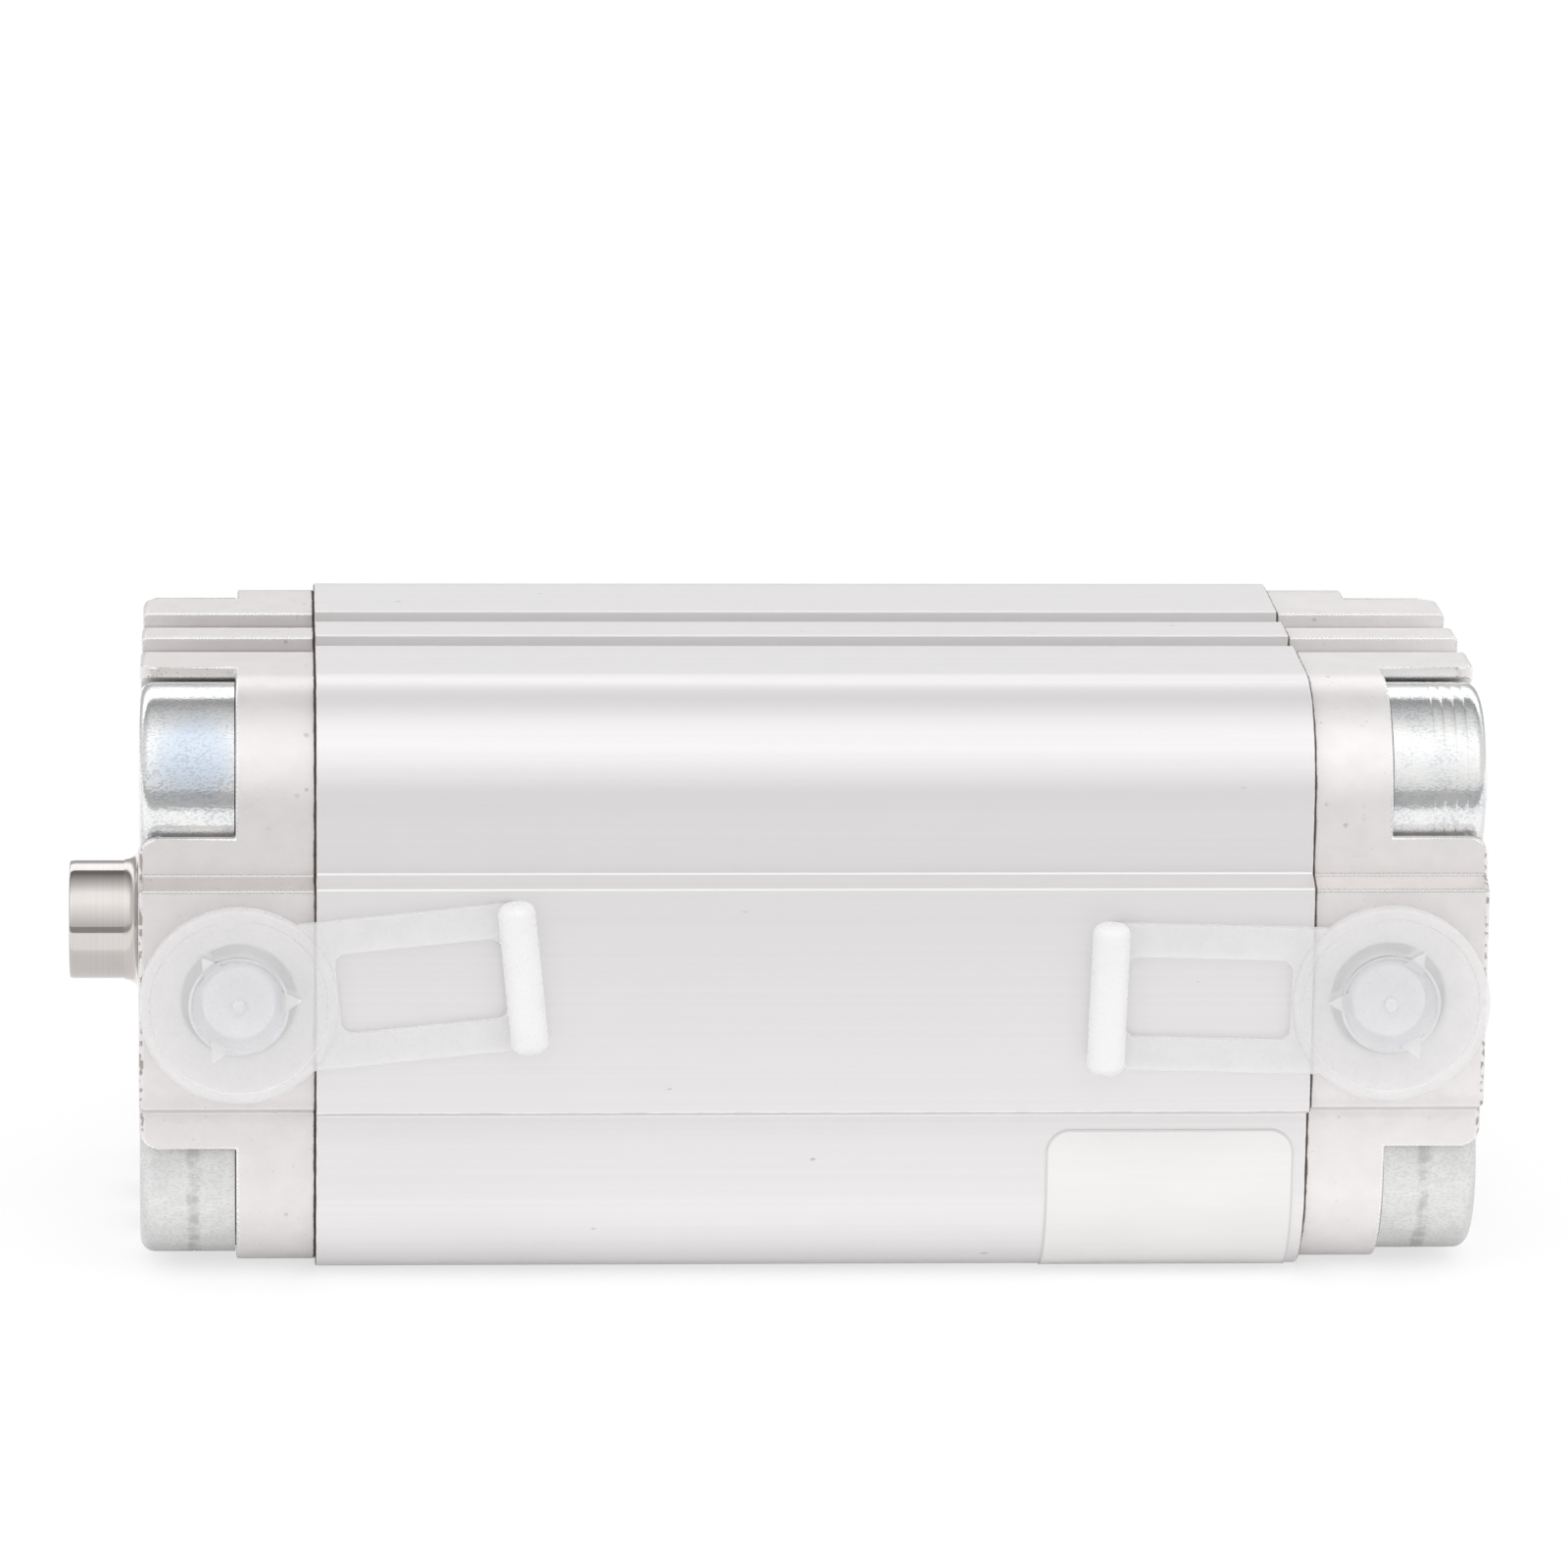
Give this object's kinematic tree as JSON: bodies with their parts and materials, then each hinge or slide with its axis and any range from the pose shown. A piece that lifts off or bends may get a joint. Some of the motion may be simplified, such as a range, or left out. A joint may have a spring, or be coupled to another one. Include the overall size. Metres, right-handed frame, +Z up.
{
  "type": "compact pneumatic cylinder",
  "caption": "Compact double-acting air cylinder: square slotted tube between cast end caps, plain rod with female thread, ports on one side closed by pull-tab plugs.",
  "frame": {"origin": "on the rod axis, in the outer face of the front cap", "axes": "-X out of the front cap along the rod, -Y out of the ports, +Z up"},
  "size_m": [0.1164, 0.0556, 0.0502],
  "materials": {
    "anodised_aluminium": "satin clear anodised",
    "cast_aluminium": "fine grained casting",
    "zinc_plate": "bright zinc plated, turned",
    "polished_steel": "ground and polished",
    "bearing_bronze": "sintered",
    "wiper_plastic": "smooth moulded",
    "seal_rubber": "matte",
    "buffer_rubber": "matte",
    "turned_aluminium": "turned",
    "magnet_plastic": "plastic bonded magnet",
    "guide_plastic": "smooth",
    "black_steel": "blackened",
    "milky_plastic": "translucent moulded",
    "label_film": "semi gloss film, blank"
  },
  "bodies": {
    "housing": {"profile_tube": "anodised_aluminium", "front_cap": "cast_aluminium", "rear_cap": "cast_aluminium", "front_screws": "zinc_plate", "rear_screws": "zinc_plate", "front_tube_seal": "seal_rubber", "rear_tube_seal": "seal_rubber", "front_buffer": "buffer_rubber", "rear_buffer": "buffer_rubber", "rod_bush": "bearing_bronze", "rod_wiper": "wiper_plastic", "label_film": "label_film"},
    "piston_rings": {"guide_ring": "guide_plastic", "piston_seal_front": "seal_rubber", "piston_seal_rear": "seal_rubber"},
    "rod": {"piston_rod": "polished_steel", "piston_front_half": "turned_aluminium", "piston_rear_half": "turned_aluminium", "magnet_ring": "magnet_plastic", "piston_screw": "black_steel", "rod_o_ring": "seal_rubber"},
    "front_plug": {"port_plug_front": "milky_plastic"},
    "rear_plug": {"port_plug_rear": "milky_plastic"}
  },
  "joints": [
    {"name": "rod_slide", "type": "slide", "parent": "housing", "child": "piston_rings", "axis": [-1, 0, 0], "range_m": [0, 0.065]},
    {"name": "rod_turn", "type": "hinge", "parent": "piston_rings", "child": "rod", "pos_m": [0, 0, 0], "axis": [-1, 0, 0], "continuous": true},
    {"name": "front_plug_pull", "type": "slide", "parent": "housing", "child": "front_plug", "axis": [0, -1, 0], "range_m": [0, 0.02]},
    {"name": "rear_plug_pull", "type": "slide", "parent": "housing", "child": "rear_plug", "axis": [0, -1, 0], "range_m": [0, 0.02]}
  ]
}
